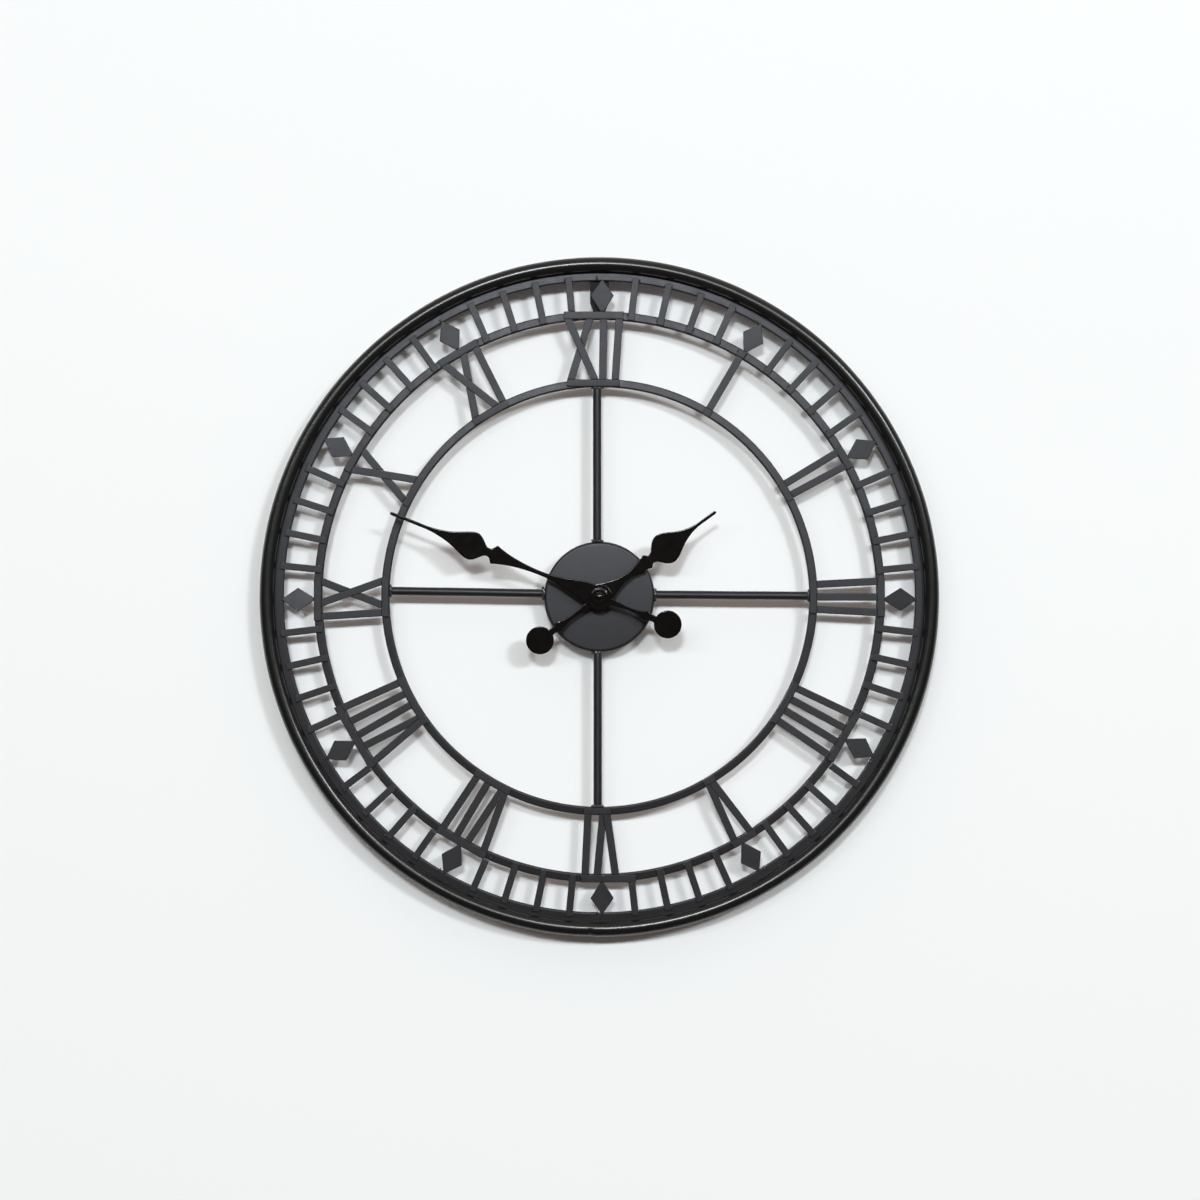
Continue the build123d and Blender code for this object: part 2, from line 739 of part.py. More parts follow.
def minute_hand():
    """Minute hand with a low round boss under the cap nut."""
    plate = hand(minute_outline(), minute_angle, minute_hand_back, arbor_thread_radius + 0.05)
    boss_back = minute_hand_back + hand_sheet
    return plate + disc(7.4, boss_back, boss_back + 0.5, bore=arbor_thread_radius + 0.05)


def hour_hand():
    return hand(hour_outline(), hour_angle, hour_hand_back, hour_pipe_radius + 0.05)


def hour_collet():
    """Collet behind the hour hand that pushes on the hour pipe."""
    return disc(4.4, 31.2, hour_hand_back, bore=hour_pipe_radius + 0.05)


def cap_nut():
    """Domed nut on the end of the minute arbor."""
    base = minute_hand_back + hand_sheet + 0.5
    side_top = base + 1.6
    radius, rise = 4.3, 2.7
    ball = (radius**2 + rise**2) / (2 * rise)
    lean = asin(radius / ball) / 2
    crown = (ball * sin(lean), side_top + rise - ball * (1 - cos(lean)))
    bore = arbor_thread_radius + 0.05
    thread_end = 42.3
    outline = [
        Line((0, thread_end), (bore, thread_end)),
        Line((bore, thread_end), (bore, base)),
        Line((bore, base), (radius, base)),
        Line((radius, base), (radius, side_top)),
        ThreePointArc((radius, side_top), crown, (0, side_top + rise)),
        Line((0, side_top + rise), (0, thread_end)),
    ]
    return revolve(section * make_face(outline), Axis.Y)


# ---------------------------------------------------------------- write every node

save("rim", rim())
save("outer_ring", ring(outer_ring_radii))
save("minute_ring", ring(minute_ring_radii))
save("numeral_ring", ring(numeral_ring_radii))
save("minute_bars", minute_bars())
save("hour_lozenges", hour_lozenges())
for hour in range(1, 13):
    save(f"numeral_{hour:02d}", numeral(hour))
save("spokes", spokes())
save("hub_disc", hub_disc())
save("hanger_plate", hanger_plate())
save("movement_case", movement_case())
save("movement_cover", movement_cover())
save("train_plate", train_plate())
save("movement_screws", movement_screws())
save("threaded_bushing", threaded_bushing())
save("rubber_washer", rubber_washer())
save("brass_washer", brass_washer())
save("hex_nut", hex_nut())
save("stator", stator())
save("coil_core", coil_core())
save("coil_bobbin", coil_bobbin())
save("coil_winding", coil_winding())
save("circuit_board", circuit_board())
save("chip_blob", chip_blob())
save("quartz_crystal", quartz_crystal())
save("contact_positive", contact_positive())
save("contact_negative", contact_negative())
save("battery", battery())
save("centre_wheel", centre_wheel())
save("third_wheel", third_wheel())
save("fourth_wheel", fourth_wheel())
save("fifth_wheel", fifth_wheel())
save("rotor_pinion", rotor_pinion())
save("rotor_magnet", rotor_magnet())
save("idler_wheel", idler_wheel())
save("setting_knob", setting_knob())
save("hour_wheel", hour_wheel())
save("hour_collet", hour_collet())
save("hour_hand", hour_hand())
save("minute_arbor", minute_arbor())
save("minute_hand", minute_hand())
save("cap_nut", cap_nut())
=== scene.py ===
"""Looks of an open-frame wall clock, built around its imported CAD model.

Metres. The dial faces -Y, +X is to the viewer's right and +Z is up. "Depth" is the distance out from the
wall plane, and dial angles run clockwise from the twelve, as the viewer sees them.
"""

import json
import math
import random

import bmesh
import bpy
import numpy as np
from mathutils import Matrix, Vector, noise


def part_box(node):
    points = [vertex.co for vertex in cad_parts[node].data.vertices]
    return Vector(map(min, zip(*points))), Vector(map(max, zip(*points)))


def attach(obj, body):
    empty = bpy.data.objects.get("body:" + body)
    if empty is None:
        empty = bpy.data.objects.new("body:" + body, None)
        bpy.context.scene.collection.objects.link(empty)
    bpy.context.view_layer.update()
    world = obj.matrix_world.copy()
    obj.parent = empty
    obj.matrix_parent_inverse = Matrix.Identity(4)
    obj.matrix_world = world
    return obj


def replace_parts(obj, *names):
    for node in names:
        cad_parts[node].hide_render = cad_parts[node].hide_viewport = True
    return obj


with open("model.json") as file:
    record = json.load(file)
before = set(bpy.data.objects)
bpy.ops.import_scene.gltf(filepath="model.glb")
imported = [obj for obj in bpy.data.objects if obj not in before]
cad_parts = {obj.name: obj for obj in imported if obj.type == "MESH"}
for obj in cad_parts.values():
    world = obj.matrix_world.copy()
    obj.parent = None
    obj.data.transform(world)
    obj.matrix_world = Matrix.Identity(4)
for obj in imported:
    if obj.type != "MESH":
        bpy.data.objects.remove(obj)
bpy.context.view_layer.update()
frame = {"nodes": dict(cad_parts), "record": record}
nodes = frame["nodes"]
record = frame["record"]
body_of = {node: body for body, members in record["behaviour"]["bodies"].items() for node in members}
slot_of = {subpart["node"]: subpart["material_slot"] for subpart in record["subparts"]}
MM = 0.001


# ---------------------------------------------------------------- materials


class Finish:
    """A procedural material round one principled shader. Textures use the piece's own coordinates."""

    def __init__(self, name, **sockets):
        self.material = bpy.data.materials.new(name)
        self.material.use_nodes = True
        self.tree = self.material.node_tree
        self.shader = self.tree.nodes["Principled BSDF"]
        for socket, value in sockets.items():
            self.shader.inputs[socket.replace("_", " ")].default_value = value
        self.place = self.tree.nodes.new("ShaderNodeTexCoord").outputs["Object"]

    def feed(self, socket, value):
        if isinstance(value, bpy.types.NodeSocket):
            self.tree.links.new(value, socket)
        else:
            socket.default_value = value

    def node(self, kind, **inputs):
        made = self.tree.nodes.new(kind)
        for socket, value in inputs.items():
            self.feed(made.inputs[socket.replace("_", " ")], value)
        return made

    def noise(self, scale, detail=3.0, rough=0.5, at=None):
        settings = {"Scale": scale, "Detail": detail, "Roughness": rough}
        return self.node("ShaderNodeTexNoise", Vector=at or self.place, **settings).outputs["Fac"]

    def stretched(self, scale):
        """The piece's coordinates, scaled unequally along its axes."""
        return self.node("ShaderNodeMapping", Vector=self.place, Scale=scale).outputs["Vector"]

    def axis(self, letter):
        return self.node("ShaderNodeSeparateXYZ", Vector=self.place).outputs[letter]

    def span(self, value, low, high, start=0.3, stop=0.7):
        """Stretch a value between start and stop, by default most of what a noise gives, to low and high."""
        inputs = {"From Min": start, "From Max": stop, "To Min": low, "To Max": high}
        return self.node("ShaderNodeMapRange", Value=value, **inputs).outputs["Result"]

    def math(self, operation, a, b=0.0):
        made = self.tree.nodes.new("ShaderNodeMath")
        made.operation = operation
        self.feed(made.inputs[0], a)
        self.feed(made.inputs[1], b)
        return made.outputs["Value"]

    def mix(self, factor, a, b):
        made = self.tree.nodes.new("ShaderNodeMix")
        made.data_type = "RGBA"
        for index, value in ((0, factor), (6, a), (7, b)):
            self.feed(made.inputs[index], value)
        return made.outputs[2]

    def bump(self, height, distance, normal=None):
        made = self.node("ShaderNodeBump", Height=height, Strength=1.0, Distance=distance)
        if normal is not None:
            self.feed(made.inputs["Normal"], normal)
        return made.outputs["Normal"]

    def surface(self, colour, roughness=None, normal=None):
        for socket, value in (("Base Color", colour), ("Roughness", roughness), ("Normal", normal)):
            if value is not None:
                self.feed(self.shader.inputs[socket], value)
        return self.material


def rgb(red, green, blue):
    return (red, green, blue, 1.0)


def paint(name, dark, light, roughness, spread, peel, waves=0.0, **sockets):
    """Sprayed paint: slow changes of tone, a fine orange peel, and a surface that isn't quite flat."""
    f = Finish(name, **sockets)
    tone = f.math("ADD", f.math("MULTIPLY", f.noise(9, 4), 0.6), f.math("MULTIPLY", f.noise(70, 3), 0.4))
    rough = f.span(f.noise(160, 4, 0.6), roughness - spread, roughness + spread)
    normal = f.bump(f.noise(650, 2), peel)
    if waves:
        normal = f.bump(f.noise(24, 1), waves, normal)
    return f.surface(f.mix(f.span(tone, 0, 1), dark, light), rough, normal)


def moulded(name, dark, light, roughness, grain=0.000012):
    """Moulded plastic: a fine spark-eroded grain and faint flow marks."""
    f = Finish(name, Specular_IOR_Level=0.45)
    flow = f.noise(30, 3, 0.5, f.stretched((1.0, 1.0, 0.25)))
    rough = f.span(f.noise(400, 3), roughness - 0.05, roughness + 0.05)
    return f.surface(f.mix(f.span(flow, 0, 1), dark, light), rough, f.bump(f.noise(5200, 1), grain))


def bare_metal(name, dark, light, roughness, along=(1.0, 1.0, 1.0)):
    """Bare metal with fine machining or rolling marks, and a little dulling."""
    f = Finish(name, Metallic=1.0)
    marks = f.noise(900, 3, 0.6, f.stretched(along))
    dull = f.noise(60, 4)
    rough = f.math("ADD", f.span(marks, -0.05, 0.07), f.span(dull, roughness - 0.04, roughness + 0.08))
    return f.surface(f.mix(f.span(dull, 0, 1), dark, light), rough, f.bump(marks, 0.000006))


def sleeve():
    """Battery sleeve: dark film with a pale band near the raised end and a thin line beside it."""
    f = Finish("battery_sleeve", Coat_Weight=0.3, Coat_Roughness=0.15)
    low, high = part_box("battery")
    x = f.axis("X")
    end = high.x - 1.3 * MM
    band = f.math("GREATER_THAN", x, end - 11.5 * MM)
    past_line = f.math("GREATER_THAN", x, end - 14 * MM)
    line = f.math("MULTIPLY", past_line, f.math("LESS_THAN", x, end - 13 * MM))
    tone = f.span(f.noise(120, 3), 0, 1)
    body = f.mix(tone, rgb(0.030, 0.036, 0.048), rgb(0.042, 0.050, 0.064))
    light = f.mix(tone, rgb(0.42, 0.45, 0.48), rgb(0.50, 0.53, 0.56))
    f.feed(f.shader.inputs["Metallic"], f.span(band, 0.25, 0.75, 0, 1))
    colour = f.mix(f.math("MAXIMUM", band, line), body, light)
    return f.surface(colour, f.span(f.noise(300, 3), 0.26, 0.36), f.bump(f.noise(90, 2), 0.00006))


def wound_wire():
    """Fine enamelled wire laid in close turns along the coil."""
    f = Finish("copper", Metallic=0.85)
    ridges = f.math("SINE", f.math("MULTIPLY", f.axis("X"), 2 * math.pi / (0.12 * MM)))
    tone = f.noise(500, 2, 0.5, f.stretched((3.0, 1.0, 1.0)))
    colour = f.mix(f.span(tone, 0, 1), rgb(0.42, 0.13, 0.05), rgb(0.62, 0.24, 0.10))
    return f.surface(colour, 0.32, f.bump(ridges, 0.00002))


def solder_mask():
    """Green board with faint copper tracks showing under the mask."""
    f = Finish("board", Coat_Weight=0.4, Coat_Roughness=0.1)
    brick = f.node("ShaderNodeTexBrick", Vector=f.stretched((420.0, 1.0, 260.0)), Scale=1.0)
    brick.inputs["Mortar Size"].default_value = 0.12
    colour = f.mix(brick.outputs["Fac"], rgb(0.012, 0.085, 0.040), rgb(0.03, 0.16, 0.075))
    return f.surface(colour, f.span(f.noise(300, 2), 0.3, 0.4), f.bump(brick.outputs["Fac"], 0.00003))


satin = {"Specular_Tint": rgb(0.93, 0.93, 1.0)}
along_dial_axis = (1.0, 0.1, 1.0)
looks = {
    "dial_paint": paint(
        "dial_paint", rgb(0.0078, 0.0072, 0.0078), rgb(0.0108, 0.0102, 0.011), 0.43, 0.04,
        peel=0.00002, waves=0.0005, Specular_IOR_Level=0.42, **satin,
    ),
    "rim_paint": paint(
        "rim_paint", rgb(0.0036, 0.004, 0.004), rgb(0.005, 0.0055, 0.0056), 0.25, 0.015,
        peel=0.000004, waves=0.00005,
    ),
    "hand_paint": paint(
        "hand_paint", rgb(0.0010, 0.0006, 0.0006), rgb(0.0015, 0.0010, 0.0010), 0.14, 0.02,
        peel=0.000003, waves=0.00004, Specular_IOR_Level=0.4,
    ),
    "hub_paint": paint(
        "hub_paint", rgb(0.0092, 0.0085, 0.0096), rgb(0.0112, 0.0104, 0.0118), 0.42, 0.03,
        peel=0.00002, waves=0.0001, Specular_IOR_Level=0.46, **satin,
    ),
    # Weld lumps wear the same paint as the dial. Their base colour here is about twice the dial paint's: a
    # painted highlight that stands in for the glints on the lumps.
    "weld_paint": paint(
        "weld_paint", rgb(0.014, 0.014, 0.015), rgb(0.022, 0.022, 0.023), 0.32, 0.05,
        peel=0.00002, Specular_IOR_Level=0.7,
    ),
    "hanger_paint": paint(
        "hanger_paint", rgb(0.0012, 0.0012, 0.0012), rgb(0.002, 0.002, 0.002), 0.6, 0.05,
        peel=0.00003, Specular_IOR_Level=0.2,
    ),
    "case_plastic": moulded(
        "case_plastic", rgb(0.011, 0.011, 0.012), rgb(0.016, 0.016, 0.017), 0.46, 0.000016,
    ),
    "knob_plastic": moulded("knob_plastic", rgb(0.02, 0.02, 0.021), rgb(0.028, 0.028, 0.03), 0.40),
    "gear_plastic": moulded("gear_plastic", rgb(0.62, 0.60, 0.53), rgb(0.70, 0.68, 0.62), 0.42, 0.000004),
    "rubber": moulded("rubber", rgb(0.012, 0.012, 0.012), rgb(0.02, 0.02, 0.02), 0.75, 0.00002),
    "resin": moulded("resin", rgb(0.006, 0.006, 0.006), rgb(0.01, 0.01, 0.01), 0.22, 0.000004),
    "steel": bare_metal("steel", rgb(0.50, 0.50, 0.51), rgb(0.62, 0.62, 0.63), 0.28, along_dial_axis),
    "plated_steel": bare_metal(
        "plated_steel", rgb(0.58, 0.57, 0.54), rgb(0.70, 0.69, 0.66), 0.24, (1.0, 1.0, 0.1),
    ),
    "iron": bare_metal("iron", rgb(0.30, 0.30, 0.31), rgb(0.42, 0.42, 0.43), 0.42, (0.1, 1.0, 1.0)),
    "brass": bare_metal("brass", rgb(0.62, 0.40, 0.13), rgb(0.76, 0.53, 0.22), 0.26, along_dial_axis),
    "magnet": bare_metal("magnet", rgb(0.12, 0.12, 0.13), rgb(0.18, 0.18, 0.19), 0.55),
    "copper": wound_wire(),
    "board": solder_mask(),
    "battery_sleeve": sleeve(),
}
for name, piece in nodes.items():
    piece.data.materials.clear()
    piece.data.materials.append(looks[slot_of[name]])


# ---------------------------------------------------------------- mesh helpers


def add_piece(name, bm, look, body, sharp):
    """Make an object of a finished bmesh, shade it, and let it ride on a body. sharp is in degrees."""
    bmesh.ops.recalc_face_normals(bm, faces=bm.faces[:])
    mesh = bpy.data.meshes.new(name)
    bm.to_mesh(mesh)
    bm.free()
    mesh.materials.append(looks[look])
    mesh.polygons.foreach_set("use_smooth", [True] * len(mesh.polygons))
    mesh.set_sharp_from_angle(angle=math.radians(sharp))
    made = bpy.data.objects.new(name, mesh)
    bpy.context.scene.collection.objects.link(made)
    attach(made, body)
    return made


def even_normals(piece):
    """Let the large flat faces keep their own direction beside their rounded edges."""
    settings = piece.modifiers.new("even_normals", "WEIGHTED_NORMAL")
    settings.keep_sharp = True
    settings.weight = 80
    return piece


def node_bmesh(node):
    """A CAD node's mesh with its split corners joined again."""
    bm = bmesh.new()
    bm.from_mesh(nodes[node].data)
    bmesh.ops.remove_doubles(bm, verts=bm.verts[:], dist=2e-6)
    part_solids(bm)
    return bm


def part_solids(bm):
    """Give solids that touch along an edge or at a corner their own corners again."""
    solids = []
    found = set()
    for first in bm.faces:
        if first in found:
            continue
        found.add(first)
        faces = [first]
        for face in faces:
            joined = [other for edge in face.edges if len(edge.link_faces) == 2 for other in edge.link_faces]
            for other in joined:
                if other not in found:
                    found.add(other)
                    faces.append(other)
        solids.append(faces)
    for faces in solids[1:]:
        own = set(faces)
        if any(other not in own for face in faces for vert in face.verts for other in vert.link_faces):
            bmesh.ops.split(bm, geom=faces)


def islands(bm):
    """The separate solids of a mesh, as lists of vertices."""
    left = set(bm.verts)
    found = []
    while left:
        grown = {left.pop()}
        edge = list(grown)
        while edge:
            for link in edge.pop().link_edges:
                for vert in link.verts:
                    if vert in left:
                        left.discard(vert)
                        grown.add(vert)
                        edge.append(vert)
        found.append(sorted(grown, key=lambda v: v.index))
    return sorted(found, key=lambda verts: verts[0].index)


def softened(node, radius, steps, look=None, bend=None, clamp=True, roll=1.0):
    """A CAD node's shape with its sharp edges rounded. bend(bm) may move whole solids a little first.

    With a roll above 1 the rounding reaches that many times further across the face than down the side.
    """
    bm = node_bmesh(node)
    bm.verts.index_update()
    if bend:
        bend(bm)
    bmesh.ops.dissolve_limit(bm, angle_limit=math.radians(0.15), verts=bm.verts[:], edges=bm.edges[:])
    bmesh.ops.scale(bm, vec=(1, roll, 1), verts=bm.verts[:])
    sharp = [e for e in bm.edges if len(e.link_faces) == 2 and e.calc_face_angle() > math.radians(30)]
    bmesh.ops.bevel(
        bm, geom=sharp, offset=radius, offset_type="OFFSET", segments=steps, profile=0.5, affect="EDGES",
        clamp_overlap=clamp,
    )
    bmesh.ops.scale(bm, vec=(1, 1 / roll, 1), verts=bm.verts[:])
    made = add_piece(node + "_rounded", bm, look or slot_of[node], body_of[node], 60.0)
    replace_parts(made, node)
    return even_normals(made)


def rounded(corners, radius, steps=5):
    """A closed outline with its corners rounded; radius is one number or one for each corner."""
    radii = radius if isinstance(radius, (list, tuple)) else [radius] * len(corners)
    points = []
    for index, corner in enumerate(corners):
        here = Vector(corner)
        before = (Vector(corners[index - 1]) - here).normalized()
        after = (Vector(corners[(index + 1) % len(corners)]) - here).normalized()
        if not radii[index]:
            points.append((here.x, here.y))
            continue
        half = before.angle(after) / 2
        centre = here + (before + after).normalized() * radii[index] / math.sin(half)
        start = here + before * radii[index] / math.tan(half) - centre
        stop = here + after * radii[index] / math.tan(half) - centre
        turn = start.angle(stop)
        for step in range(steps + 1):
            share = step / steps
            spoke = (start * math.sin((1 - share) * turn) + stop * math.sin(share * turn)) / math.sin(turn)
            points.append((centre.x + spoke.x, centre.y + spoke.y))
    return points


def arc(centre, radius, start, stop, steps):
    """Points on an arc in (radius, depth), angles in degrees from the outward radius towards the viewer."""
    angles = [math.radians(start + (stop - start) * step / steps) for step in range(steps + 1)]
    return [(centre[0] + radius * math.cos(a), centre[1] + radius * math.sin(a)) for a in angles]


def lathe(name, profile, look, body, angles, sharp, warp=None, place=None):
    """Turn an outline of (radius, depth) points about the clock's axis; warp(angle, r, d) may move them."""
    bm = bmesh.new()
    rows = []
    for angle in angles:
        row = []
        for radius, depth in profile:
            if warp:
                radius, depth = warp(angle, radius, depth)
            row.append(bm.verts.new((radius * math.sin(angle), -depth, radius * math.cos(angle))))
        rows.append(row)
    for row, after in zip(rows, rows[1:] + rows[:1]):
        for k in range(len(profile)):
            m = (k + 1) % len(profile)
            bm.faces.new((row[k], row[m], after[m], after[k]))
    bmesh.ops.remove_doubles(bm, verts=bm.verts[:], dist=1e-6)
    if place:
        bm.transform(place)
    return add_piece(name, bm, look, body, sharp)


def radii_of(node):
    """Smallest and largest distance of a CAD node's corners from the clock's axis."""
    co = np.array([v.co for v in nodes[node].data.vertices])
    reach = np.hypot(co[:, 0], co[:, 2])
    return float(reach.min()), float(reach.max())


def depths_of(node):
    low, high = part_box(node)
    return -high.y, -low.y


def wander(angle, turns, seed):
    """A smooth, closed, repeatable change round the dial, from about -1 to 1."""
    at = Vector((math.cos(angle) * turns, math.sin(angle) * turns, seed))
    return noise.noise(at) * 1.6


# ---------------------------------------------------------------- rim and rings

rim_radius = radii_of("rim")[1]
rim_lip = radii_of("rim")[0]
rim_front = depths_of("rim")[1]
ring_back, ring_front = depths_of("outer_ring")
seam = math.radians(181.15)


def rim_outline():
    """The rolled channel: wall flange, straight side, half-round bead, short lip over the outer ring."""
    half = (rim_radius - rim_lip) / 2
    middle, top, sheet = rim_radius - half, rim_front - half, 1.2 * MM
    flange = rim_radius - 8 * MM
    lip_end = ring_front + 0.45 * MM
    corners = [(flange, 0), (rim_radius, 0)]
    corners += arc((middle, top), half, 0, 180, 40)
    corners += [(rim_lip, lip_end), (rim_lip + sheet, lip_end)]
    corners += arc((middle, top), half - sheet, 180, 0, 20)
    corners += [(rim_radius - sheet, sheet), (flange, sheet)]
    radii = [0.45 * MM, 1.1 * MM] + [0] * 41 + [0.45 * MM, 0.45 * MM] + [0] * 21 + [0.6 * MM, 0.45 * MM]
    return rounded(corners, radii)


def rim_warp(angle, radius, depth):
    """Hand-rolled unevenness, and the ground butt weld at the bottom where the strip's two ends meet."""
    share = max(0.0, min(1.0, depth / rim_front))
    radius += 0.16 * MM * wander(angle, 2.2, 3.0) + 0.07 * MM * share * wander(angle, 14.0, 8.0)
    ripple = 0.14 * MM * wander(angle, 2.0, 5.0) + 0.035 * MM * wander(angle, 22.0, 11.0)
    depth += share * (ripple - 0.1 * MM)
    past = (angle - seam) * rim_radius
    if abs(past) < 30 * MM:
        radius -= 0.30 * MM / (1 + math.exp(-past / (0.35 * MM))) * math.exp(-abs(past) / (14 * MM))
        ridge = math.exp(-(past / (0.9 * MM)) ** 2) * share
        groove = math.exp(-((past - 2.2 * MM) / (1.0 * MM)) ** 2) * share
        depth += 0.09 * MM * ridge - 0.55 * MM * groove
        radius -= 0.25 * MM * groove
    return radius, depth


def turns(count, fine=None):
    """Dial angles for a turned piece, closer together round one place if asked."""
    reach, extra = 0.03, 60
    angles = {2 * math.pi * step / count for step in range(count)}
    if fine is not None:
        angles |= {fine + reach * (2 * step / extra - 1) for step in range(extra + 1)}
    return sorted(angles)


even_normals(lathe("rim_channel", rim_outline(), "rim_paint", "frame", turns(480, seam), 50, rim_warp))
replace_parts(bpy.data.objects["rim_channel"], "rim")


def ring_piece(node, seed):
    """A flat ring with eased edges, very slightly out of flat."""
    inner, outer = radii_of(node)
    corners = [(inner, ring_back), (outer, ring_back), (outer, ring_front - 0.7 * MM), (inner, ring_front)]
    outline = rounded(corners, [1.0 * MM, 1.0 * MM, 1.2 * MM, 1.6 * MM], 6)

    def warp(angle, radius, depth):
        out_of_flat = 0.05 * MM * (wander(angle, 9.0, seed + 4) - 1)
        return radius + 0.1 * MM * wander(angle, 2.6, seed), depth + out_of_flat

    made = lathe(node + "_eased", outline, "dial_paint", "frame", turns(360), 50, warp)
    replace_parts(made, node)
    even_normals(made)


for seed, node in enumerate(("outer_ring", "minute_ring", "numeral_ring")):
    ring_piece(node, 20.0 + seed)


# ---------------------------------------------------------------- strips and their welds

chance = random.Random(7)


def unevenly_set(lean, drift, nods=()):
    """Sets each strip of a node a touch out of true, as if welded by hand. A nod is (hour, degrees up)."""

    def bend(bm):
        for verts in islands(bm):
            centre = sum((v.co for v in verts), Vector()) / len(verts)
            axis = Vector((chance.uniform(-1, 1), 0, chance.uniform(-1, 1))).normalized()
            tilt = Matrix.Rotation(math.radians(chance.uniform(-lean, lean)), 3, axis)
            hour = round(math.degrees(math.atan2(centre.x, centre.z)) / 30) % 12
            for nodding, degrees in nods:
                if hour == nodding:
                    tilt = Matrix.Rotation(math.radians(-degrees), 3, "X")
            slide = Vector((chance.uniform(-drift, drift), 0, chance.uniform(-drift, drift)))
            for v in verts:
                v.co = centre + slide + tilt @ (v.co - centre)

    return bend


numerals = [node for node in nodes if node.startswith("numeral_") and node != "numeral_ring"]
softened("minute_bars", 0.5 * MM, 3, bend=unevenly_set(0.7, 0.00012))
softened("hour_lozenges", 0.5 * MM, 3, bend=unevenly_set(1.6, 0.0001, ((0, -0.8), (3, -2.2), (9, 4.0))))
for node in numerals:
    softened(node, 0.5 * MM, 3, bend=unevenly_set(0.3, 0.00005))


def bead(bm, place, size, seed, along=None, fineness=2):
    """A lump of weld metal: a flattened, uneven dome. size is (along, across, height)."""
    up = Vector((0, -1, 0))
    made = bmesh.ops.create_icosphere(bm, subdivisions=fineness, radius=1.0)["verts"]
    along = (along or Vector((1, 0, 0))).normalized()
    across = up.cross(along).normalized()
    for v in made:
        lump = 1 + 0.28 * noise.noise(v.co * 1.7 + Vector((seed, seed * 0.7, 0)))
        at = v.co * lump
        v.co = place + along * at.x * size[0] + across * at.y * size[1] + up * at.z * size[2]


def strip_ends(node):
    """For every strip of a node: its two ends, as (radius, dial angle) of the middle of each end."""
    ends = []
    bm = node_bmesh(node)
    bm.verts.index_update()
    for verts in islands(bm):
        flat = [Vector((v.co.x, v.co.z)) for v in verts]
        reach = sorted(flat, key=lambda p: p.length)
        inner = sum(reach[:4], Vector((0, 0))) / 4
        outer = sum(reach[-4:], Vector((0, 0))) / 4
        ends.append([(p.length, math.atan2(p.x, p.y)) for p in (inner, outer)])
    bm.free()
    return ends


def on_dial(radius, angle, depth):
    return Vector((radius * math.sin(angle), -depth, radius * math.cos(angle)))


def clockwise(angle):
    """The direction in which a dial angle grows."""
    return Vector((math.cos(angle), 0, -math.sin(angle)))


def lump_size(*spans):
    """A random size in metres, from (low, high) spans in millimetres."""
    return tuple(chance.uniform(low, high) * MM for low, high in spans)


weld_radii = {  # where the strips are welded to the rings: their outer ends, then their inner ends
    "minute_bars": (281.6, 249.6),
    "hour_lozenges": (280.2, 0),
    "numerals": (248.6, 189.0),
}
beside_bar = 3.1 * MM
beside_stroke = 3.4 * MM
short_bar_start = 251 * MM


def bridge_to_ring(bm, radius, angle):
    """Three lumps from the end of a shortened bar to the minute ring."""
    for across in (-2.0, 0.0, 2.0):
        place = on_dial(radius - 0.5 * MM, angle, ring_front + 0.5 * MM) + clockwise(angle) * across * MM
        bead(bm, place, (1.3 * MM, 1.3 * MM, 0.9 * MM), along=on_dial(1, angle, 0), seed=across + angle)


def strip_welds():
    """Small tacks where the strips cross the rings: mostly beside the ends of the bars and strokes."""
    bm = bmesh.new()
    for node, beside in (("minute_bars", beside_bar), ("hour_lozenges", 0.4 * MM)):
        for inner, outer in strip_ends(node):
            if node == "minute_bars" and inner[0] > short_bar_start:
                bridge_to_ring(bm, *inner)
            for line, angle in zip(weld_radii[node], (outer[1], inner[1])):
                if not line or chance.random() < 0.22:
                    continue
                radius = line * MM + chance.uniform(-1.6, 1.6) * MM
                side = chance.choice((-1, 1)) * beside
                place = on_dial(radius, angle, ring_front + 0.25 * MM) + clockwise(angle) * side
                size = lump_size((1.0, 2.0), (0.8, 1.3), (0.8, 1.3))
                bead(bm, place, size, along=on_dial(1, angle, 0), seed=chance.uniform(0, 40))
    outer_line, inner_line = weld_radii["numerals"]
    for node in numerals:
        for inner, outer in strip_ends(node):
            for angle, line in ((inner[1], inner_line), (outer[1], outer_line)):
                if chance.random() < 0.3:
                    continue
                place = on_dial(line * MM + chance.uniform(-2.2, 2.2) * MM, angle, ring_front + 0.4 * MM)
                place += clockwise(angle) * chance.choice((-1, 1)) * beside_stroke
                size = lump_size((1.0, 1.9), (0.8, 1.2), (0.8, 1.3))
                bead(bm, place, size, along=on_dial(1, angle, 0), seed=chance.uniform(0, 40))
    return add_piece("strip_welds", bm, "weld_paint", "frame", 180)


strip_welds()


# ---------------------------------------------------------------- spokes, hub and hanger

rod_radius = 3.75 * MM
pan_edge = 3.0  # radius of the pan's rolled edge, in millimetres
collar_reach = 5.6  # how far the row of weld lumps reaches to each side of a rod, in millimetres
collar_height = 0.58  # how high the row is, as a share of that


def rod_ends(node):
    """The middles of both ends of every rod of a node, the end nearest the clock's centre first."""
    bm = node_bmesh(node)
    bm.verts.index_update()
    rods = []
    for verts in islands(bm):
        reach = sorted((v.co.copy() for v in verts), key=lambda p: Vector((p.x, 0, p.z)).length)
        middle = sum(reach, Vector()) / len(reach)
        first = [p for p in reach if (p - middle).dot(middle) < 0]
        last = [p for p in reach if (p - middle).dot(middle) >= 0]
        rods.append((sum(first, Vector()) / len(first), sum(last, Vector()) / len(last)))
    bm.free()
    return rods


